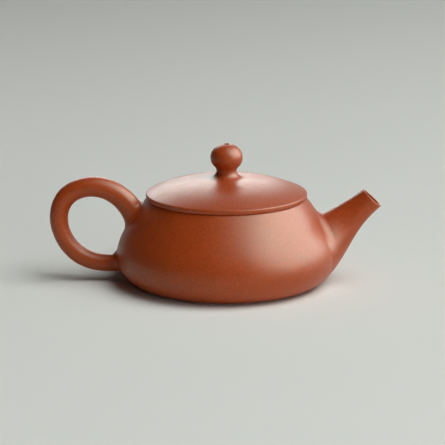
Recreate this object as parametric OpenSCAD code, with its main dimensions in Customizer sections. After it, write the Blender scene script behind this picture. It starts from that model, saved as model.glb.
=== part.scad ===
// Small flat teapot of unglazed red-brown clay, built from slabs, with a lift-off lid.
// Millimetres. The origin is the centre of the base, on the table.
// +X points towards the spout, the handle is on the -X side, and +Z is up.

/* [Body] */
// Widest diameter of the body, at the belly
belly_d = 90; // [87:0.2:93]
// Height of the belly's widest level above the table
belly_h = 11.6; // [11:0.2:13]
// Height of the body's rim, which the lid rests on
body_h = 35.2; // [34:0.2:37]
// Outer diameter of the body at its rim
rim_d = 64.6; // [63.6:0.2:66]
// Diameter of the flat base
base_d = 67.4; // [66:0.2:69]
// Roundness of the turn from the belly to the leaning wall
shoulder_round = 0.45; // [0.3:0.05:0.6]
// Thickness of the slabs of the wall and the base
wall = 2.8; // [2.2:0.1:3.2]

/* [Mouth] */
// Diameter of the round mouth
mouth_d = 54; // [50:0.5:56]
// Thickness of the slab around the mouth
mouth_t = 2.4; // [2:0.1:3]
// Radius of the softened edges of the mouth slab and the lid
edge_round = 0.6; // [0.4:0.1:0.8]

/* [Lid] */
// Diameter of the lid
lid_d = 65.8; // [64:0.2:67]
// Height of the lid's upright rim
lid_rim = 2.1; // [1.8:0.1:2.6]
// Rise of the lid's dome above its rim
lid_rise = 6; // [5:0.1:7]
// Fullness of the dome: 2 is a parabola, more is flatter on top
lid_fullness = 2.6; // [2:0.1:3]
// Thickness of the lid
lid_t = 3; // [2.5:0.1:3.5]
// Depth of the flange below the lid
flange_depth = 8; // [6:0.5:10]
// Thickness of the flange
flange_t = 2.4; // [2:0.1:3]
// Gap between the flange and the mouth, all round
flange_gap = 0.3; // [0.2:0.05:0.4]

/* [Knob] */
// Diameter of the knob's flattened ball
knob_d = 13.2; // [12:0.1:14]
// Height of the ball
knob_h = 11.4; // [10.6:0.1:12]
// Height of the ball's middle above the lid's crown
knob_lift = 8.6; // [8.2:0.1:9]
// Diameter of the foot that the waisted neck flares out to on the lid
foot_d = 18; // [16:0.2:20]
// Diameter of the vent hole through the knob and the lid
vent_d = 2.4; // [1.8:0.1:2.6]

/* [Handle] */
// Distance from the pot's axis to the handle's furthest point, on its centreline
handle_reach = 68.6; // [66:0.2:72]
// Height of that furthest point
handle_reach_h = 26.2; // [25:0.2:28]
// Height of the upper root on the wall
handle_top_h = 27.7; // [27:0.1:29]
// Slope of the handle as it leaves the upper root, in degrees
handle_top_slope = 65; // [58:1:68]
// Height of the lower root on the wall
handle_low_h = 7.7; // [7.4:0.1:8.4]
// Thickness of the handle at its upper root
handle_top_d = 9.4; // [8.6:0.1:10]
// Thickness of the handle half way along
handle_mid_d = 7.5; // [7:0.1:8.2]
// Thickness of the handle at its lower root
handle_low_d = 7.4; // [6.8:0.1:7.8]

/* [Spout] */
// Distance from the pot's axis to the lower lip
spout_reach = 63.1; // [61:0.2:66]
// Height of the lower lip
spout_lip_h = 31.4; // [30.4:0.2:32.4]
// Diameter of the spout at its lip
spout_lip_d = 10.1; // [9.4:0.1:10.8]
// Tilt of the lip's plane from level, in degrees
spout_lip_tilt = 43; // [40:1:46]
// Thickness of the lip
spout_lip_t = 1.2; // [1:0.1:1.4]
// Height of the top of the spout's root on the wall
spout_top_h = 27.6; // [27:0.1:28.4]
// Height of the bottom of the spout's root on the wall
spout_low_h = 2.9; // [2.4:0.1:4]
// Width of the spout at its root
spout_root_w = 30; // [28:0.2:31]

/* [Strainer] */
// Height of the middle of the spout's hole in the wall
hole_h = 16.5; // [16:0.1:17]
// Diameter of the spout's hole in the wall
hole_d = 15; // [14:0.2:15.6]
// Outer diameter of the strainer dome
dome_d = 18.6; // [18:0.2:20]
// Thickness of the strainer dome
dome_t = 1.5; // [1.2:0.1:1.6]
// Diameter of each strainer hole
strain_d = 1.9; // [1.6:0.1:2]

/* [Hidden] */
$fn = 96;

clay = [0.55, 0.24, 0.14];
dark_clay = [0.45, 0.19, 0.11];

// Steps along each stretch of a turned profile, and along a softened edge
steps = 20;
edge_steps = 4;
// Rings and sides of the swept handle and spout
sweep_rings = 30;
sweep_sides = 28;
bore_rings = 15;
// How much closer together the spout's rings are near its root, above 1
root_crowding = 1.4;
// How much closer together the handle's rings are near its roots, from 0 to 1
end_crowding = 0.7;
// Size of the smooth fillet where the handle and the spout join the wall
root_fillet = 2.4;
// How far the handle and the spout are carried on into the wall, as a share of their curves
root_run = 0.1;
// How far a cutter runs past the face it cuts
past = 1;

belly_r = belly_d / 2;
rim_r = rim_d / 2;
base_r = base_d / 2;
mouth_r = mouth_d / 2;
lid_r = lid_d / 2;
vent_r = vent_d / 2;
foot_r = foot_d / 2;
flange_r = mouth_r - flange_gap;
slab_z = body_h - mouth_t;

function mix(a, b, t) = a + (b - a) * t;
function clamp(t) = min(max(t, 0), 1);
function heading(angle) = [cos(angle), sin(angle)];
// Even steps drawn closer together at both ends
function ease(t) = mix(t, t * t * (3 - 2 * t), end_crowding);

// A point on the Bezier curve with the control points p
function bezier(p, t) =
    len(p) == 1 ? p[0] : bezier([for (i = [0:len(p) - 2]) mix(p[i], p[i + 1], t)], t);

// Control points of a curve from p to q that keeps each end's heading over that end's pull
function curve(p, p_angle, p_pull, q, q_angle, q_pull) =
    [p, p + p_pull * heading(p_angle), q - q_pull * heading(q_angle), q];

// Outer radius of the body at height z: a hyperbola above the belly, a quarter ellipse below it
function lean(s) = sqrt(s * s + shoulder_round * shoulder_round) - shoulder_round;
function body_r(z) =
    z > belly_h
        ? belly_r - (belly_r - rim_r) * lean((z - belly_h) / (body_h - belly_h)) / lean(1)
        : base_r + (belly_r - base_r) * sqrt(1 - pow(1 - max(z, 0) / belly_h, 2));
function body_point(z) = [body_r(z), z];

// Heights of the profile's points, closer together towards the base, from the rim down
function profile_heights() =
    concat([for (i = [0:steps - 1]) mix(body_h, belly_h, i / steps)],
           [for (i = [0:steps]) belly_h * pow(1 - i / steps, 2)]);

// The point one wall thickness inside the body's outline at the i-th height
function inner_point(z, i) =
    let (h = profile_heights(),
         last = len(h) - 1,
         above = body_point(h[max(i - 1, 0)]),
         below = body_point(h[min(i + 1, last)]),
         along = (below - above) / norm(below - above))
    i == last ? [base_r, wall] : body_point(z) + wall * [along[1], -along[0]];

// Outline of the solid body, and of the room inside the wall
module body_outline() {
    polygon(concat([[0, 0], [0, body_h]], [for (z = profile_heights()) body_point(z)]));
}

module room_outline() {
    h = profile_heights();
    inner = [for (i = [0:len(h) - 1]) inner_point(h[i], i)];
    polygon(concat([[0, wall], [0, body_h + past], [inner[0][0] - past, body_h + past]], inner));
}

module body_solid() {
    rotate_extrude() body_outline();
}

// A closed skin over a list of rings of points
module skin(rings) {
    n = len(rings[0]);
    last = len(rings) - 1;
    points = [for (ring = rings) each ring];
    sides = [for (i = [0:last - 1], j = [0:n - 1])
        let (k = (j + 1) % n, a = i * n + j, b = i * n + k)
        each [[a, b, b + n], [a, b + n, a + n]]];
    first_cap = [for (j = [n - 1:-1:0]) j];
    last_cap = [for (j = [0:n - 1]) last * n + j];
    polyhedron(points, concat(sides, [first_cap, last_cap]));
}

// A ring of points round a centre in the XZ plane, with its half height and half width.
// An egg share above 0 makes it narrower above and wider below.
function ring(centre, half, half_w, egg = 0) =
    [for (j = [0:sweep_sides - 1])
        let (a = 360 * j / sweep_sides)
        [centre[0] + half[0] * cos(a),
         half_w * sin(a) * (1 - egg * cos(a)),
         centre[1] + half[1] * cos(a)]];

// Outward normal of the body's surface level with a point
function wall_normal(p) =
    let (step = 0.1,
         slope = (body_r(p[2] + step) - body_r(p[2] - step)) / (2 * step),
         across = norm([p[0], p[1]]),
         out = [p[0] / across, p[1] / across, -slope])
    out / norm(out);

// A ring that spreads over the wall near its root: points closer to the wall than the fillet's
// size slide away from the ring's centre, along the wall
function spread(p, centre) =
    let (normal = wall_normal(p),
         gap = (norm([p[0], p[1]]) - body_r(p[2])) * norm([normal[0], normal[1]]),
         near = clamp(1 - gap / root_fillet),
         away = p - [centre[0], 0, centre[1]],
         along_wall = away - (away * normal) * normal)
    p + root_fillet * near * near * along_wall / norm(along_wall);
function rooted_ring(centre, half, half_w, egg = 0) =
    [for (p = ring(centre, half, half_w, egg)) spread(p, centre)];

// Handle: the centreline runs from the upper root, round the furthest point, to the lower root
handle_top = [-body_r(handle_top_h), handle_top_h];
handle_far = [-handle_reach, handle_reach_h];
handle_low = [-body_r(handle_low_h), handle_low_h];
handle_low_slope = 7;
// Pulls at the ends of the upper and of the lower stretch
handle_upper_pulls = [19, 16];
handle_lower_pulls = [7, 19];
down = 270;
handle_upper = curve(handle_top, 180 - handle_top_slope, handle_upper_pulls[0],
                     handle_far, down, handle_upper_pulls[1]);
handle_lower = curve(handle_far, down, handle_lower_pulls[0],
                     handle_low, handle_low_slope, handle_lower_pulls[1]);

// Position along the handle from 0 at the upper root to 2 at the lower root
function handle_point(s) = s < 1 ? bezier(handle_upper, s) : bezier(handle_lower, s - 1);
function handle_r(s) =
    let (t = s / 2)
    (handle_top_d * (1 - t) * (1 - 2 * t) + 4 * handle_mid_d * t * (1 - t)
        + handle_low_d * t * (2 * t - 1)) / 2;
function handle_ring(s) =
    let (step = 0.01,
         along = handle_point(s + step) - handle_point(s - step),
         across = [-along[1], along[0]] / norm(along))
    rooted_ring(handle_point(s), handle_r(s) * across, handle_r(s));

// Spout: sections between a top line and a bottom line
spout_low_lip = [spout_reach, spout_lip_h];
spout_top_lip = spout_low_lip + spout_lip_d * heading(180 - spout_lip_tilt);
// Slopes and pulls of the two lines at the root and at the lip
spout_top_slopes = [24, 37];
spout_top_pulls = [7, 7];
spout_low_slopes = [34, 40];
spout_low_pulls = [10.5, 16];
spout_top = curve(body_point(spout_top_h), spout_top_slopes[0], spout_top_pulls[0],
                  spout_top_lip, spout_top_slopes[1], spout_top_pulls[1]);
spout_low = curve(body_point(spout_low_h), spout_low_slopes[0], spout_low_pulls[0],
                  spout_low_lip, spout_low_slopes[1], spout_low_pulls[1]);
// How much narrower above than below the root is
root_egg = 0.4;
function spout_egg(t) = root_egg * (1 - clamp(t));
function spout_centre(t) = (bezier(spout_top, t) + bezier(spout_low, t)) / 2;
function spout_half(t) = (bezier(spout_top, t) - bezier(spout_low, t)) / 2;
// How steeply the spout's sides flare out at the root, where 1 is a straight taper
root_flare = 2.6;
function spout_half_w(t) = mix(spout_lip_d, spout_root_w, pow(1 - clamp(t), root_flare)) / 2;
function spout_ring(t) =
    rooted_ring(spout_centre(t), spout_half(t), spout_half_w(t), spout_egg(t));
function bore_ring(t) =
    let (inset = mix(wall, spout_lip_t, clamp(t)),
         half = spout_half(t))
    ring(spout_centre(t), half * (1 - inset / norm(half)), spout_half_w(t) - inset, spout_egg(t));

// Middle of the spout's hole on the inner face of the wall, and the hole's upward slope
hole_slope = 20;
hole_x = body_r(hole_h) - wall;
// Angle between the rows of strainer holes, seen from the middle of the dome
strain_row_angle = 25;

module base_disc() {
    color(dark_clay)
    cylinder(r = base_r, h = wall);
}

module body_wall() {
    color(clay)
    difference() {
        rotate_extrude()
        difference() {
            body_outline();
            room_outline();
            square([base_r, wall]);
            translate([0, slab_z]) square([belly_r, body_h]);
        }
        spout_hole();
    }
}

module spout_hole() {
    translate([hole_x, 0, hole_h])
    rotate([0, 90 - hole_slope, 0])
    translate([0, 0, -dome_d / 2])
    cylinder(d = hole_d, h = dome_d);
}

// A softened edge: an arc round c from one angle to the next
function edge(c, from, to) =
    [for (i = [0:edge_steps]) c + edge_round * heading(mix(from, to, i / edge_steps))];

module mouth_disc() {
    side_angle = atan2(body_r(slab_z) - rim_r, mouth_t);
    edge_in = edge_round * tan((90 - side_angle) / 2);
    color(clay)
    rotate_extrude()
    polygon(concat(
        [[mouth_r, slab_z], [body_r(slab_z), slab_z]],
        edge([rim_r - edge_in, body_h - edge_round], side_angle, 90),
        [[mouth_r, body_h]]));
}

module spout() {
    color(clay)
    difference() {
        skin([for (i = [0:sweep_rings])
            spout_ring(mix(-root_run, 1, pow(i / sweep_rings, root_crowding)))]);
        skin([for (i = [0:bore_rings])
            bore_ring(mix(-root_run, 1 + root_run, i / bore_rings))]);
        body_solid();
    }
}

module strainer() {
    color(dark_clay)
    difference() {
        intersection() {
            translate([hole_x, 0, hole_h]) sphere(d = dome_d);
            rotate_extrude() room_outline();
        }
        translate([hole_x, 0, hole_h]) sphere(d = dome_d - 2 * dome_t);
        strainer_holes();
    }
}

// One hole in the middle of the dome and two rings of holes round it
module strainer_holes() {
    for (row = [0:2], i = [0:max(6 * row - 1, 0)])
        translate([hole_x, 0, hole_h])
        rotate([0, -90, 0])
        rotate([0, 0, 60 * i / max(row, 1)])
        rotate([0, strain_row_angle * row, 0])
        translate([0, 0, dome_d / 2 - 2 * dome_t])
        cylinder(d = strain_d, h = 3 * dome_t);
}

module handle() {
    color(clay)
    difference() {
        skin([for (i = [0:2 * sweep_rings])
            handle_ring(mix(-root_run, 2 + root_run, ease(i / (2 * sweep_rings))))]);
        body_solid();
    }
}

// The dome starts where the rim's softened edge takes on its slope
lid_slope = atan(lid_rise * lid_fullness / lid_r);
lid_edge_c = [lid_r - edge_round, body_h + lid_rim - edge_round];
dome_edge = lid_edge_c + edge_round * heading(90 - lid_slope);
// Height of the lid's top at radius r, level under the knob's foot
function lid_top(r) =
    dome_edge[1] + lid_rise * (1 - pow(max(r, foot_r) / dome_edge[0], lid_fullness));
lid_crown = lid_top(foot_r);

module lid_disc() {
    hollow_r = flange_r - flange_t;
    outer = [for (i = [1:steps]) mix(dome_edge[0], foot_r, i / steps)];
    inner = [for (i = [0:steps]) mix(foot_r, hollow_r, i / steps)];
    color(clay)
    rotate_extrude()
    polygon(concat(
        [[hollow_r, body_h]],
        edge([lid_r - edge_round, body_h + edge_round], -90, 0),
        edge(lid_edge_c, 0, 90 - lid_slope),
        [for (r = outer) [r, lid_top(r)]],
        [[vent_r, lid_crown], [vent_r, lid_crown - lid_t]],
        [for (r = inner) [r, lid_top(r) - lid_t]]));
}

module lid_flange() {
    foot = body_h - flange_depth;
    color(clay)
    rotate_extrude()
    polygon([
        [flange_r - flange_t, body_h],
        [flange_r, body_h],
        [flange_r, foot + edge_round],
        [flange_r - edge_round, foot],
        [flange_r - flange_t + edge_round, foot],
        [flange_r - flange_t, foot + edge_round]]);
}

// The neck leaves the ball at this angle below its middle, with these pulls at its two ends
neck_angle = 45;
neck_pulls = [1.4, 5.2];
outward = 0;

module lid_knob() {
    ball_r = knob_d / 2;
    ball_half_h = knob_h / 2;
    middle = [0, lid_crown + knob_lift];
    // The ball runs from the neck up to the vent
    vent_angle = acos(vent_r / ball_r);
    ball = [for (i = [0:steps])
        let (a = mix(-neck_angle, vent_angle, i / steps))
        middle + [ball_r * cos(a), ball_half_h * sin(a)]];
    // The neck keeps the ball's slope at its top and ends level on the lid
    neck_heading = 180 + atan2(ball_half_h * cos(neck_angle), ball_r * sin(neck_angle));
    neck = curve(ball[0], neck_heading, neck_pulls[0], [foot_r, lid_crown], outward, neck_pulls[1]);
    color(clay)
    rotate_extrude()
    polygon(concat(
        [[vent_r, lid_crown]],
        [for (i = [0:steps - 1]) bezier(neck, 1 - i / steps)],
        ball));
}

base_disc();
body_wall();
mouth_disc();
spout();
strainer();
handle();
lid_disc();
lid_flange();
lid_knob();
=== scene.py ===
import math

import bpy
import numpy as np
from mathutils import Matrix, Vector


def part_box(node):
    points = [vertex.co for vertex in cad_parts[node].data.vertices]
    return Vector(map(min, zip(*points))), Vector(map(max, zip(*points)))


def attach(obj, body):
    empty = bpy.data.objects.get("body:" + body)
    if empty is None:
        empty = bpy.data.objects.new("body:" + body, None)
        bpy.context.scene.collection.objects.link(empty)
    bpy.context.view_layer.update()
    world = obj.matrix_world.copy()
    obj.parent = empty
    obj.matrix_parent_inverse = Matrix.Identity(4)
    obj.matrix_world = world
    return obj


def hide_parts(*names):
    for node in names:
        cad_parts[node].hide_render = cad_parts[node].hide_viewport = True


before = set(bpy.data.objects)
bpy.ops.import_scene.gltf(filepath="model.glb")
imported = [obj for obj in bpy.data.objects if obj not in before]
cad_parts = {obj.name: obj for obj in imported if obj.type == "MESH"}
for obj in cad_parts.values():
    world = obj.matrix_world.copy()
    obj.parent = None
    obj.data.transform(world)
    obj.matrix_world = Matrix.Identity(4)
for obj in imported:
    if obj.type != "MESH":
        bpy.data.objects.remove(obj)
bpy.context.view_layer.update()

# Lengths are in millimetres and angles in degrees until a mesh, a light or the camera is made.
MM = 0.001


def node_box(node):
    """Lowest and highest corner of a CAD node, in millimetres."""
    low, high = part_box(node)
    return np.array(low) / MM, np.array(high) / MM


# Sizes that the frame gives
_, base_high = node_box("base_disc")
_, wall_high = node_box("body_wall")
mouth_low, mouth_high = node_box("mouth_disc")
_, lid_high = node_box("lid_disc")
flange_low, flange_high = node_box("lid_flange")
_, knob_high = node_box("lid_knob")

base_r = base_high[1]
wall = base_high[2]
belly_r = wall_high[1]
slab_z = mouth_low[2]
body_h = mouth_high[2]
lid_r = lid_high[1]
lid_crown = lid_high[2]
flange_r = flange_high[1]
flange_foot = flange_low[2]
foot_r = knob_high[1]

# Body and mouth
belly_h = 11.6
rim_r = 32.3
shoulder_round = 0.45
mouth_r = 27
edge_round = 0.6

# Lid and knob
lid_rim = 2.1
lid_rise = 6
lid_fullness = 2.6
lid_t = 3
flange_t = 2.4
ball_r = 6.6
ball_half_h = 5.7
ball_lift = 8.6
neck_angle = 45
neck_pulls = (1.4, 5.2)
vent_r = 1.2
vent_round = 0.3

# Handle: heights of its roots, its furthest point, and its thickness along the way
handle_reach = 68.6
handle_reach_h = 26.2
handle_top_h = 27.7
handle_top_slope = 65
handle_low_h = 7.7
handle_low_slope = 7
handle_upper_pulls = (19, 16)
handle_lower_pulls = (7, 19)
handle_top_d = 9.4
handle_mid_d = 7.5
handle_low_d = 7.4

# Spout: its root on the wall and its lip
spout_top_h = 27.6
spout_low_h = 2.9
spout_root_w = 30
spout_root_flare = 2.6
spout_root_egg = 0.4
spout_reach = 63.1
spout_lip_h = 31.4
spout_lip_d = 10.1
spout_lip_tilt = 43
spout_lip_t = 1.2
spout_lip_round = 0.3
spout_top_slopes = (24, 37)
spout_top_pulls = (7, 7)
spout_low_slopes = (34, 40)
spout_low_pulls = (10.5, 16)

# Spout's hole in the wall, behind the strainer
hole_h = 16.5
hole_d = 15
hole_slope = 20
hole_cut_l = 18

# Fillet where the handle and the spout join the wall, how far their ends go under its face,
# and the least height at which a fillet ends
root_fillet = 2.4
root_depth = 0.5
root_low = 0.3

# Fineness of the meshes, and the turn above which an edge stays sharp
turn_sides = 256
knob_sides = 128
handle_sides = 72
spout_sides = 112
hole_sides = 64
wall_steps = 110
dome_steps = 59
handle_steps = 120
spout_steps = 90
bore_steps = 48
fillet_steps = 14
sharp_angle = 38

# The hand's small unevenness, kept inside the CAD box by a slight shrink
uneven = 0.05
uneven_waves = (31, 23, 17)
shrink = 0.9985


# Curves and meshes

def mix(a, b, t):
    return a + (b - a) * t


def heading(angle):
    return np.array([math.cos(math.radians(angle)), math.sin(math.radians(angle))])


def curve(p, p_angle, p_pull, q, q_angle, q_pull):
    """Control points of a curve from p to q that keeps each end's heading over that end's pull."""
    p, q = np.array(p, float), np.array(q, float)
    return np.array([p, p + p_pull * heading(p_angle), q - q_pull * heading(q_angle), q])


def bezier(points, t):
    """Points on a cubic curve, one row for each value of t."""
    t = np.asarray(t, float)[..., None]
    a, b, c, d = points
    return a * (1 - t) ** 3 + 3 * b * t * (1 - t) ** 2 + 3 * c * t * t * (1 - t) + d * t ** 3


def arc(centre, radius, start, end, steps=6):
    """Points of a profile along an arc, from one angle to another."""
    angles = np.linspace(start, end, steps + 1)
    return [tuple(np.array(centre) + radius * heading(a)) for a in angles]


def hand_made(points):
    """Moves points by a smooth field that all pieces share, so that their joins stay closed.

    The field is a sum of waves with arbitrary starts, and it fades out towards the table."""
    x, y, z = points.T
    long_wave, mid_wave, short_wave = (2 * math.pi / w for w in uneven_waves)
    around = np.sin(x * long_wave + 1.3) * np.sin(y * mid_wave + 0.4) + np.sin(z * short_wave + 2.1)
    across = np.sin(y * long_wave + 0.2) * np.sin(z * mid_wave + 1.9) + np.sin(x * short_wave + 0.7)
    upward = np.sin(x * mid_wave + 2.6) * np.sin(y * long_wave + 1.1)
    lifted = np.clip(z / belly_h, 0, 1)
    shift = np.stack([around * lifted, across * lifted, upward * lifted], axis=1)
    return points * shrink + uneven / 2 * shift


def add_piece(name, points, faces, body, nodes):
    """A smooth mesh piece that rides on a body and stands for the named CAD nodes."""
    mesh = bpy.data.meshes.new(name)
    mesh.from_pydata(hand_made(np.asarray(points, float)) * MM, [], faces)
    mesh.validate()
    mesh.shade_smooth()
    mesh.set_sharp_from_angle(angle=math.radians(sharp_angle))
    piece = bpy.data.objects.new(name, mesh)
    bpy.context.scene.collection.objects.link(piece)
    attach(piece, body)
    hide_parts(*nodes)
    return piece


def turned(profile, sides, closed):
    """Points and faces of a profile of (radius, height) turned round the pot's axis.

    A closed profile is a loop, as for a wall. An open one starts and ends on the axis."""
    on_axis = 1e-6
    angles = 2 * math.pi * np.arange(sides) / sides
    points, rings = [], []
    for r, z in profile:
        count = sides if r > on_axis else 1
        rings.append((len(points), count))
        points += [(r * math.cos(a), r * math.sin(a), z) for a in angles[:count]]
    faces = []
    pairs = list(zip(rings, rings[1:] + rings[:1])) if closed else list(zip(rings, rings[1:]))
    for (a, a_count), (b, b_count) in pairs:
        for j in range(sides):
            k = (j + 1) % sides
            if a_count == 1:
                faces.append((a, b + k, b + j))
            elif b_count == 1:
                faces.append((a + j, a + k, b))
            else:
                faces.append((a + j, a + k, b + k, b + j))
    return points, faces


def lofted(rings, ends):
    """Points and faces over rings of points. The ends are joined to each other or capped."""
    sides = len(rings[0])
    points = [tuple(p) for ring in rings for p in ring]
    faces = []
    last = len(rings) - 1
    for i in range(last + 1 if ends == "joined" else last):
        here, there = i * sides, (i + 1) % (last + 1) * sides
        for j in range(sides):
            k = (j + 1) % sides
            faces.append((here + j, here + k, there + k, there + j))
    if ends == "capped":
        for ring, flip in ((0, True), (last, False)):
            middle = len(points)
            points.append(tuple(np.mean(rings[ring], axis=0)))
            for j in range(sides):
                a, b = ring * sides + j, ring * sides + (j + 1) % sides
                faces.append((b, a, middle) if flip else (a, b, middle))
    return points, faces


# The body's wall, which every other surface of the pot follows

def lean(s):
    return np.sqrt(s * s + shoulder_round ** 2) - shoulder_round


def body_r(z):
    """Outer radius of the body at height z: a hyperbola above the belly, a quarter ellipse below it."""
    z = np.asarray(z, float)
    above = belly_r - (belly_r - rim_r) * lean((z - belly_h) / (body_h - belly_h)) / lean(1)
    low = np.clip(z, 0, belly_h) / belly_h
    below = base_r + (belly_r - base_r) * np.sqrt(1 - (1 - low) ** 2)
    return np.where(z > belly_h, above, below)


def wall_normal(p):
    """Outward normals of the body's surface level with the points."""
    step = 0.02
    slope = (body_r(p[:, 2] + step) - body_r(p[:, 2] - step)) / (2 * step)
    out = np.stack([p[:, 0], p[:, 1], -slope * np.hypot(p[:, 0], p[:, 1])], axis=1)
    return out / np.linalg.norm(out, axis=1, keepdims=True)


def wall_gap(p):
    """Distances of the points from the body's surface, along its normals."""
    normal = wall_normal(p)
    gap = np.hypot(p[:, 0], p[:, 1]) - body_r(p[:, 2])
    return gap * np.hypot(normal[:, 0], normal[:, 1])


def filleted(p, centre):
    """Points near the wall slide along it, away from the ring's centre, by a quarter circle."""
    gap = wall_gap(p)
    near = np.clip(1 - gap / root_fillet, 0, 1)
    slide = root_fillet * (1 - np.sqrt(1 - near * near))
    normal = wall_normal(p)
    foot = p - gap[:, None] * normal
    away = foot - centre
    away -= np.sum(away * normal, axis=1, keepdims=True) * normal
    moved = foot + slide[:, None] * away / np.linalg.norm(away, axis=1, keepdims=True)
    # A straight slide leaves the curved wall, so the points are put back on it, above the table
    for _ in range(3):
        moved -= wall_gap(moved)[:, None] * wall_normal(moved)
    moved[:, 2] = np.maximum(moved[:, 2], root_low)
    moved[:, :2] *= (body_r(moved[:, 2]) / np.hypot(moved[:, 0], moved[:, 1]))[:, None]
    return np.where(near[:, None] > 0, moved + gap[:, None] * wall_normal(moved), p)


def place_of_gap(point_at, inside, outside, gap):
    """For each angle round a sweep, the place along it where its surface is that far off the wall."""
    halvings = 40
    low = np.array(inside, float)
    high = np.array(outside, float)
    for _ in range(halvings):
        middle = (low + high) / 2
        out = wall_gap(point_at(middle)) > gap
        high = np.where(out, middle, high)
        low = np.where(out, low, middle)
    return (low + high) / 2


def root_rings(point_at, centre_at, inside, outside):
    """Rings from just under the wall's face to the end of the fillet, and the places they end at."""
    rings = []
    for k in range(-1, fillet_steps + 1):
        turn = math.radians(90 * max(k, 0) / fillet_steps)
        gap = -root_depth if k < 0 else root_fillet * (1 - math.cos(turn))
        place = place_of_gap(point_at, inside, outside, gap)
        rings.append(filleted(point_at(place), centre_at(place)))
    return rings, place


# Pot: wall, slab round the mouth, base

def outer_profile():
    """The wall's outline from the slab down to the table, with more points towards the base."""
    low_share = 0.6
    low_steps = int(wall_steps * low_share)
    high = np.linspace(slab_z, belly_h, wall_steps - low_steps + 1)[:-1]
    low = belly_h * (1 - np.arange(low_steps + 1) / low_steps) ** 2
    return [(float(body_r(z)), float(z)) for z in np.concatenate([high, low])]


def inner_profile(outer):
    """The outline one wall thickness inside another, from its foot up."""
    points = np.array(outer)
    along = np.gradient(points, axis=0)
    along /= np.linalg.norm(along, axis=1, keepdims=True)
    inner = points + wall * np.stack([along[:, 1], -along[:, 0]], axis=1)
    inside = [tuple(p) for p in inner[::-1] if p[1] > wall and p[1] < slab_z]
    top = float(body_r(slab_z)) - (points[0, 0] - inner[0, 0])
    return [(base_r, wall)] + inside + [(top, slab_z)]


def make_wall():
    """The wall, from the table to the slab, with the spout's hole."""
    outer = outer_profile()
    points, faces = turned(outer + inner_profile(outer), turn_sides, closed=True)
    piece = add_piece("pot_wall", points, faces, "pot", ["body_wall"])
    cut_spout_hole(piece)
    return piece


def cut_spout_hole(piece):
    """Cuts the round hole that leads from the strainer into the spout."""
    slope = math.radians(hole_slope)
    along = np.array([math.cos(slope), 0, math.sin(slope)])
    up = np.array([-math.sin(slope), 0, math.cos(slope)])
    side = np.array([0, 1, 0])
    middle = np.array([float(body_r(hole_h)) - wall, 0, hole_h])
    angles = 2 * math.pi * np.arange(hole_sides) / hole_sides
    rings = []
    for end in (-0.5, 0.5):
        centre = middle + end * hole_cut_l * along
        rings.append([centre + hole_d / 2 * (math.cos(a) * side + math.sin(a) * up) for a in angles])
    points, faces = lofted(rings, "capped")
    mesh = bpy.data.meshes.new("hole_cutter")
    mesh.from_pydata(np.array(points) * MM, [], faces)
    cutter = bpy.data.objects.new("hole_cutter", mesh)
    bpy.context.scene.collection.objects.link(cutter)
    cut = piece.modifiers.new("spout_hole", "BOOLEAN")
    cut.operation = "DIFFERENCE"
    cut.solver = "EXACT"
    cut.object = cutter
    graph = bpy.context.evaluated_depsgraph_get()
    whole = piece.data
    piece.data = bpy.data.meshes.new_from_object(piece.evaluated_get(graph))
    piece.modifiers.clear()
    piece.data.name = piece.name
    bpy.data.meshes.remove(whole)
    bpy.data.objects.remove(cutter)
    bpy.data.meshes.remove(mesh)


def make_mouth():
    """The slab round the mouth, with the rim that the lid rests on."""
    side_steps = 7
    side_angle = math.degrees(math.atan2(float(body_r(slab_z)) - rim_r, body_h - slab_z))
    edge_in = edge_round * math.tan(math.radians((90 - side_angle) / 2))
    heights = np.linspace(slab_z, body_h - edge_round, side_steps + 1)
    outside = [(float(body_r(z)), z) for z in heights]
    rim = arc((rim_r - edge_in, body_h - edge_round), edge_round, side_angle, 90)
    inner_top = arc((mouth_r + edge_round, body_h - edge_round), edge_round, 90, 180)
    inner_foot = arc((mouth_r + edge_round, slab_z + edge_round), edge_round, 180, 270)
    profile = inner_foot + outside[:-1] + rim + inner_top
    points, faces = turned(profile[::-1], turn_sides, closed=True)
    return add_piece("mouth_rim", points, faces, "pot", ["mouth_disc"])


def make_base():
    """The flat base, with a floor inside that is left a little dished."""
    dish = 0.35
    dish_fullness = 4
    inside_rings = 24
    under_rings = 12
    inside = [(r, wall - dish * (1 - (r / base_r) ** dish_fullness))
              for r in np.linspace(base_r, 0, inside_rings)]
    under = [(r, 0) for r in np.linspace(0, base_r, under_rings)]
    profile = under + inside
    points, faces = turned(profile[::-1], turn_sides, closed=False)
    return add_piece("pot_base", points, faces, "pot", ["base_disc"])


# Handle

handle_top = (-float(body_r(handle_top_h)), handle_top_h)
handle_far = (-handle_reach, handle_reach_h)
handle_low = (-float(body_r(handle_low_h)), handle_low_h)
down = 270
handle_upper = curve(handle_top, 180 - handle_top_slope, handle_upper_pulls[0],
                     handle_far, down, handle_upper_pulls[1])
handle_lower = curve(handle_far, down, handle_lower_pulls[0],
                     handle_low, handle_low_slope, handle_lower_pulls[1])


def handle_line(s):
    """The centreline, from 0 at the upper root to 2 at the lower root."""
    s = np.asarray(s, float)
    flat = np.where((s < 1)[..., None], bezier(handle_upper, s), bezier(handle_lower, s - 1))
    return np.insert(flat, 1, 0, axis=-1)


def handle_half(s):
    """Half the handle's thickness."""
    t = np.asarray(s, float) / 2
    top = handle_top_d * (1 - t) * (1 - 2 * t)
    middle = 4 * handle_mid_d * t * (1 - t)
    low = handle_low_d * t * (2 * t - 1)
    return (top + middle + low) / 2


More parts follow.
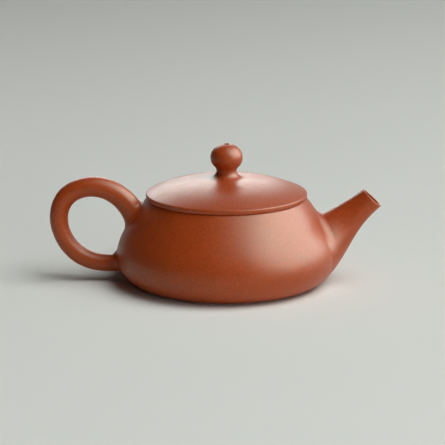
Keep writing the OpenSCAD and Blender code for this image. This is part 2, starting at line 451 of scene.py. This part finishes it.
def make_handle():
    """The round loop, with a fillet at each root."""
    angles = 2 * math.pi * np.arange(handle_sides) / handle_sides
    step = 0.01
    # Each root is looked for between a place inside the wall and one well outside it
    upper_inside, upper_outside = -0.25, 0.6
    lower_inside, lower_outside = 2.25, 1.4

    def point_at(s):
        along = handle_line(s + step) - handle_line(s - step)
        along /= np.linalg.norm(along, axis=1, keepdims=True)
        across = np.stack([-along[:, 2], along[:, 1], along[:, 0]], axis=1)
        side = np.array([0, 1, 0])
        spoke = across * np.cos(angles)[:, None] + side * np.sin(angles)[:, None]
        return handle_line(s) + handle_half(s)[:, None] * spoke

    everywhere = np.ones(handle_sides)
    upper, start = root_rings(point_at, handle_line, upper_inside * everywhere, upper_outside * everywhere)
    lower, end = root_rings(point_at, handle_line, lower_inside * everywhere, lower_outside * everywhere)
    span = np.linspace(0, 1, handle_steps + 1)[1:-1]
    places = [mix(start, end, t) for t in span]
    between = [filleted(point_at(place), handle_line(place)) for place in places]
    points, faces = lofted(upper + between + lower[::-1], "capped")
    return add_piece("loop_handle", points, faces, "pot", ["handle"])


# Spout

spout_low_lip = np.array([spout_reach, spout_lip_h])
spout_top_lip = spout_low_lip + spout_lip_d * heading(180 - spout_lip_tilt)
spout_top = curve((float(body_r(spout_top_h)), spout_top_h), spout_top_slopes[0], spout_top_pulls[0],
                  spout_top_lip, spout_top_slopes[1], spout_top_pulls[1])
spout_low = curve((float(body_r(spout_low_h)), spout_low_h), spout_low_slopes[0], spout_low_pulls[0],
                  spout_low_lip, spout_low_slopes[1], spout_low_pulls[1])


def spout_line(t):
    """The middle between the spout's top line and its bottom line."""
    return np.insert((bezier(spout_top, t) + bezier(spout_low, t)) / 2, 1, 0, axis=-1)


def make_spout():
    """The spout's outside, its rounded lip and its bore, as one closed skin."""
    angles = 2 * math.pi * np.arange(spout_sides) / spout_sides
    everywhere = np.ones(spout_sides)
    # The way that the spout's mouth faces
    outward = np.append(heading(90 - spout_lip_tilt), 0)[[0, 2, 1]]
    # The root is looked for between a place inside the wall and one well outside it
    root_inside, root_outside = -0.25, 0.7
    bore_inside, bore_outside = -0.3, 0.7

    def point_at(t, inset=0):
        half = np.insert((bezier(spout_top, t) - bezier(spout_low, t)) / 2, 1, 0, axis=-1)
        length = np.linalg.norm(half, axis=1, keepdims=True)
        share = np.clip(t, 0, 1)
        half_w = mix(spout_lip_d, spout_root_w, (1 - share) ** spout_root_flare) / 2 - inset
        egg = spout_root_egg * (1 - share)
        sideways = half_w * np.sin(angles) * (1 - egg * np.cos(angles))
        upward = half * (1 - np.reshape(inset * everywhere, (-1, 1)) / length) * np.cos(angles)[:, None]
        return spout_line(t) + upward + np.stack([0 * sideways, sideways, 0 * sideways], axis=1)

    def bore_at(t):
        return point_at(t, mix(wall, spout_lip_t, np.clip(t, 0, 1)))

    root, start = root_rings(point_at, spout_line, root_inside * everywhere, root_outside * everywhere)
    span = np.linspace(0, 1, spout_steps + 1)[1:]
    places = [mix(start, everywhere, t) for t in span]
    outside = [filleted(point_at(place), spout_line(place)) for place in places]
    lip = rounded_lip(outside.pop(), bore_at(everywhere), outward)
    bore_end = place_of_gap(bore_at, bore_inside * everywhere, bore_outside * everywhere, -root_depth)
    bore_span = np.linspace(0, 1, bore_steps + 1)[2:]
    bore = [bore_at(mix(everywhere, bore_end, t)) for t in bore_span]
    points, faces = lofted(root + outside + lip + bore, "joined")
    return add_piece("pouring_spout", points, faces, "pot", ["spout"])


def rounded_lip(outer, inner, outward):
    """Rings over the spout's lip, from its outer face over two softened edges to its bore."""
    lip_steps = 5
    across = inner - outer
    across /= np.linalg.norm(across, axis=1, keepdims=True)
    turns = np.radians(np.linspace(0, 90, lip_steps + 1))
    rings = []
    for edge, side in ((outer, 1), (inner, -1)):
        arc_rings = []
        for turn in turns:
            inward = spout_lip_round * (1 - math.cos(turn)) * side
            back = spout_lip_round * (1 - math.sin(turn))
            arc_rings.append(edge + inward * across - back * outward)
        rings += arc_rings if side > 0 else arc_rings[::-1]
    return rings


# Lid: dome, flange, knob

lid_slope = math.degrees(math.atan(lid_rise * lid_fullness / lid_r))
lid_edge = np.array([lid_r - edge_round, body_h + lid_rim - edge_round])
dome_edge = lid_edge + edge_round * heading(90 - lid_slope)


def lid_top(r):
    """Height of the lid's top at a radius, level under the knob's foot."""
    return dome_edge[1] + lid_rise * (1 - (max(r, foot_r) / dome_edge[0]) ** lid_fullness)


def make_lid():
    """The domed slab with its upright rim, hollowed inside the flange, and with the vent."""
    under_steps = 39
    hollow_r = flange_r - flange_t
    dome = [(r, lid_top(r)) for r in np.linspace(dome_edge[0], foot_r, dome_steps + 1)[1:]]
    under = [(r, lid_top(r) - lid_t) for r in np.linspace(foot_r, hollow_r, under_steps + 1)]
    profile = [(hollow_r, body_h)]
    profile += arc((lid_r - edge_round, body_h + edge_round), edge_round, -90, 0)
    profile += arc(lid_edge, edge_round, 0, 90 - lid_slope)
    profile += dome + [(vent_r, lid_crown), (vent_r, lid_crown - lid_t)] + under
    points, faces = turned(profile[::-1], turn_sides, closed=True)
    return add_piece("lid_dome", points, faces, "lid", ["lid_disc"])


def make_flange():
    """The ring under the lid that keeps it in the mouth, with round lower edges."""
    round_share = 0.4
    inner_r = flange_r - flange_t
    round_r = flange_t * round_share
    profile = [(inner_r, body_h), (flange_r, body_h)]
    profile += arc((flange_r - round_r, flange_foot + round_r), round_r, 0, -90)
    profile += arc((inner_r + round_r, flange_foot + round_r), round_r, 270, 180)
    points, faces = turned(profile, turn_sides, closed=True)
    return add_piece("lid_seat_ring", points, faces, "lid", ["lid_flange"])


def make_knob():
    """A flattened ball on a waisted neck, with the vent down its middle."""
    ball_steps = 63
    neck_steps = 40
    middle = np.array([0, lid_crown + ball_lift])
    half = np.array([ball_r, ball_half_h])
    vent_angle = math.degrees(math.acos((vent_r + vent_round) / ball_r))
    ball_angles = np.linspace(-neck_angle, vent_angle, ball_steps + 1)
    ball = [tuple(middle + half * heading(a)) for a in ball_angles]
    # The neck keeps the ball's slope at its top and ends level on the lid
    drop, out = half[::-1] * heading(neck_angle)
    neck_heading = 180 + math.degrees(math.atan2(drop, out))
    neck = curve(ball[0], neck_heading, neck_pulls[0], (foot_r, lid_crown), 0, neck_pulls[1])
    flare = [tuple(p) for p in bezier(neck, np.linspace(1, 0, neck_steps + 1)[:-1])]
    vent_edge = arc((vent_r + vent_round, ball[-1][1] - vent_round), vent_round, 90, 180)
    profile = [(vent_r, lid_crown)] + flare + ball + vent_edge
    points, faces = turned(profile[::-1], knob_sides, closed=True)
    return add_piece("lid_knob_ball", points, faces, "lid", ["lid_knob"])


# Materials

def new_material(name):
    """A node material, with its node tree and its shader."""
    material = bpy.data.materials.new(name)
    material.use_nodes = True
    tree = material.node_tree
    shader = tree.nodes["Principled BSDF"]
    return material, tree, shader


def add_node(tree, kind, values=None, **settings):
    """A node with its settings and input values."""
    node = tree.nodes.new(kind)
    for key, value in settings.items():
        setattr(node, key, value)
    for key, value in (values or {}).items():
        node.inputs[key].default_value = value
    return node


def noise(tree, where, scale, detail=3, roughness=0.55):
    """Noise at a scale given as the size of its grains in millimetres."""
    node = add_node(tree, "ShaderNodeTexNoise",
                    {"Scale": 1 / (scale * MM), "Detail": detail, "Roughness": roughness})
    tree.links.new(where, node.inputs["Vector"])
    return node.outputs["Fac"]


def ramp(tree, value, low, high, out_low=0, out_high=1):
    """A value mapped from one span to another, held at its ends."""
    node = add_node(tree, "ShaderNodeMapRange",
                    {"From Min": low, "From Max": high, "To Min": out_low, "To Max": out_high})
    tree.links.new(value, node.inputs["Value"])
    return node.outputs["Result"]


def blend_colour(tree, amount, first, second):
    """A mix of two colours, each of them a colour or the output of a node."""
    node = add_node(tree, "ShaderNodeMix", data_type="RGBA")
    tree.links.new(amount, node.inputs["Factor"])
    for socket, colour in ((node.inputs["A"], first), (node.inputs["B"], second)):
        if isinstance(colour, tuple):
            socket.default_value = (*colour, 1)
        else:
            tree.links.new(colour, socket)
    return node.outputs["Result"]


def object_places(tree):
    return add_node(tree, "ShaderNodeTexCoord").outputs["Object"]


def specks(tree, where, spacing, size):
    """Sparse round grains: 1 at a grain's middle, 0 between grains."""
    node = add_node(tree, "ShaderNodeTexVoronoi", {"Scale": 1 / (spacing * MM), "Randomness": 1})
    tree.links.new(where, node.inputs["Vector"])
    return ramp(tree, node.outputs["Distance"], size / spacing, 0.5 * size / spacing)


def add_bump(tree, height, depth, strength, below=None):
    """A bump of a depth in millimetres, over another one if that is given."""
    node = add_node(tree, "ShaderNodeBump", {"Strength": strength, "Distance": depth * MM})
    tree.links.new(height, node.inputs["Height"])
    if below is not None:
        tree.links.new(below, node.inputs["Normal"])
    return node.outputs["Normal"]


def clay_material(name, colours, roughness, grain_depth):
    """Fired clay: a faint mottle, a few pale grains, and a fine sandy grain in its surface."""
    mottle_size = 14
    sand_size = 0.9
    sand_paler = 1.4
    speck_spacing = 12
    speck_size = 0.3
    burnish_size = 5
    coarse_size = 2.2
    fine_size = 0.4
    material, tree, shader = new_material(name)
    where = object_places(tree)
    deep, warm, pale_grain = colours
    mottle = ramp(tree, noise(tree, where, mottle_size, detail=4), 0.3, 0.7)
    colour = blend_colour(tree, mottle, deep, warm)
    sand = ramp(tree, noise(tree, where, sand_size), 0.35, 0.75, 0, 0.8)
    colour = blend_colour(tree, sand, colour, tuple(sand_paler * c for c in warm))
    grains = specks(tree, where, speck_spacing, speck_size)
    colour = blend_colour(tree, grains, colour, pale_grain)
    tree.links.new(colour, shader.inputs["Base Color"])
    shader.inputs["Specular IOR Level"].default_value = 0.48
    shader.inputs["Specular Tint"].default_value = (0.5, 1, 0.88, 1)
    burnish = noise(tree, where, burnish_size, detail=5, roughness=0.65)
    rough = ramp(tree, burnish, 0.3, 0.7, roughness[0], roughness[1])
    tree.links.new(rough, shader.inputs["Roughness"])
    coarse = add_bump(tree, noise(tree, where, coarse_size), 2 * grain_depth, 0.4)
    fine = add_bump(tree, noise(tree, where, fine_size), grain_depth, 0.5, coarse)
    tree.links.new(fine, shader.inputs["Normal"])
    return material


def floor_material():
    """A plain pale floor, without gloss so that no lamp whitens it."""
    material, _, shader = new_material("pale_floor")
    shader.inputs["Base Color"].default_value = (0.8, 0.837, 0.8, 1)
    shader.inputs["Specular IOR Level"].default_value = 0
    return material


# Stage, light and camera

def make_floor():
    """The floor, six metres wide, a hair below the pot's base."""
    half = 3
    drop = -0.02 * MM
    mesh = bpy.data.meshes.new("floor")
    corners = [(-half, -half, drop), (half, -half, drop), (half, half, drop), (-half, half, drop)]
    mesh.from_pydata(corners, [], [(0, 1, 2, 3)])
    mesh.materials.append(floor_material())
    floor = bpy.data.objects.new("floor", mesh)
    bpy.context.scene.collection.objects.link(floor)


def direction(azimuth, elevation):
    """From the pot: azimuth 0 is the camera's side and 90 the spout's side."""
    a, e = math.radians(azimuth), math.radians(elevation)
    return Vector((math.sin(a) * math.cos(e), -math.cos(a) * math.cos(e), math.sin(e)))


def face_to(thing, target):
    thing.rotation_euler = (target - thing.location).to_track_quat("-Z", "Y").to_euler()


def soft_light(name, azimuth, elevation, size, radiance, lights="all"):
    """A far rectangular soft light, with its size in metres, that faces the pot.

    It lights all of the surface, or only its matt or its gloss part."""
    distance = 2.2
    pot_middle = Vector((0, 0, 0.02))
    lamp = bpy.data.lights.new(name, "AREA")
    lamp.shape = "RECTANGLE"
    lamp.size, lamp.size_y = size
    lamp.energy = radiance * math.pi * size[0] * size[1]
    lamp.color = (1, 0.99, 0.97)
    light = bpy.data.objects.new(name, lamp)
    light.location = distance * direction(azimuth, elevation)
    face_to(light, pot_middle)
    light.visible_diffuse = lights != "gloss"
    light.visible_glossy = lights != "matt"
    bpy.context.scene.collection.objects.link(light)


def make_lights():
    """A wide window on the spout's side, sky above it, a soft fill in front and a pale wall behind."""
    soft_light("window", 88, 24, (3.4, 1.8), 0.3)
    soft_light("window_glint", 90, 31, (3.4, 2), 7.4, "gloss")
    soft_light("sky", 35, 48, (0.95, 0.7), 3.2)
    soft_light("high_sky", 74, 62, (1.6, 1.6), 4.3)
    soft_light("front_fill", 43, 8, (1.2, 0.6), 5.4, "matt")
    soft_light("back_glow", 187, 19, (1.2, 0.45), 6.5, "gloss")
    soft_light("back_wall", 190, 34, (1.5, 0.8), 3.2, "gloss")


def make_world():
    """A pale room behind the pot, darker in front of it, and a weak even fill."""
    world = bpy.data.worlds.new("studio")
    bpy.context.scene.world = world
    world.use_nodes = True
    tree = world.node_tree
    seen = tree.nodes["Background"]
    fill = add_node(tree, "ShaderNodeBackground", {"Color": (0.95, 1, 0.97, 1), "Strength": 0.015})
    look = add_node(tree, "ShaderNodeTexCoord").outputs["Generated"]
    parts = add_node(tree, "ShaderNodeSeparateXYZ")
    tree.links.new(look, parts.inputs["Vector"])
    depth = ramp(tree, parts.outputs["Y"], 0.75, 0.98, 0.02, 0.55)
    tree.links.new(depth, seen.inputs["Strength"])
    seen.inputs["Color"].default_value = (0.97, 1, 0.97, 1)
    path = add_node(tree, "ShaderNodeLightPath")
    straight = add_node(tree, "ShaderNodeMath", operation="MAXIMUM")
    tree.links.new(path.outputs["Is Camera Ray"], straight.inputs[0])
    tree.links.new(path.outputs["Is Glossy Ray"], straight.inputs[1])
    clear = add_node(tree, "ShaderNodeMath", operation="MAXIMUM")
    tree.links.new(straight.outputs[0], clear.inputs[0])
    tree.links.new(path.outputs["Is Transmission Ray"], clear.inputs[1])
    either = add_node(tree, "ShaderNodeMixShader")
    tree.links.new(clear.outputs[0], either.inputs["Fac"])
    tree.links.new(fill.outputs[0], either.inputs[1])
    tree.links.new(seen.outputs[0], either.inputs[2])
    tree.links.new(either.outputs[0], tree.nodes["World Output"].inputs["Surface"])


def make_camera():
    """The camera of the photograph, found by fitting the pot's outline."""
    aim = Vector((-1.629, 0, 24.325)) * MM
    distance = 800 * MM
    elevation = 13.82
    camera = bpy.data.objects.new("camera", bpy.data.cameras.new("camera"))
    camera.data.sensor_width = 36
    camera.data.lens = 158.2
    camera.location = aim + distance * direction(0, elevation)
    face_to(camera, aim)
    bpy.context.scene.collection.objects.link(camera)
    bpy.context.scene.camera = camera


# The scene: burnished clay outside, matt clay inside and underneath
burnished = clay_material(
    "burnished_clay",
    colours=((0.31, 0.044, 0.005), (0.35, 0.05, 0.006), (0.6, 0.2, 0.09)),
    roughness=(0.36, 0.44),
    grain_depth=0.02)
matt = clay_material(
    "matt_clay",
    colours=((0.33, 0.055, 0.012), (0.38, 0.065, 0.015), (0.55, 0.2, 0.1)),
    roughness=(0.6, 0.8),
    grain_depth=0.05)

for make in (make_wall, make_mouth, make_handle, make_spout, make_lid, make_knob):
    make().data.materials.append(burnished)
for make in (make_base, make_flange):
    make().data.materials.append(matt)
for strainer_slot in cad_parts["strainer"].material_slots:
    strainer_slot.material = matt

make_floor()
make_lights()
make_world()
make_camera()
bpy.context.scene.view_settings.view_transform = "Standard"
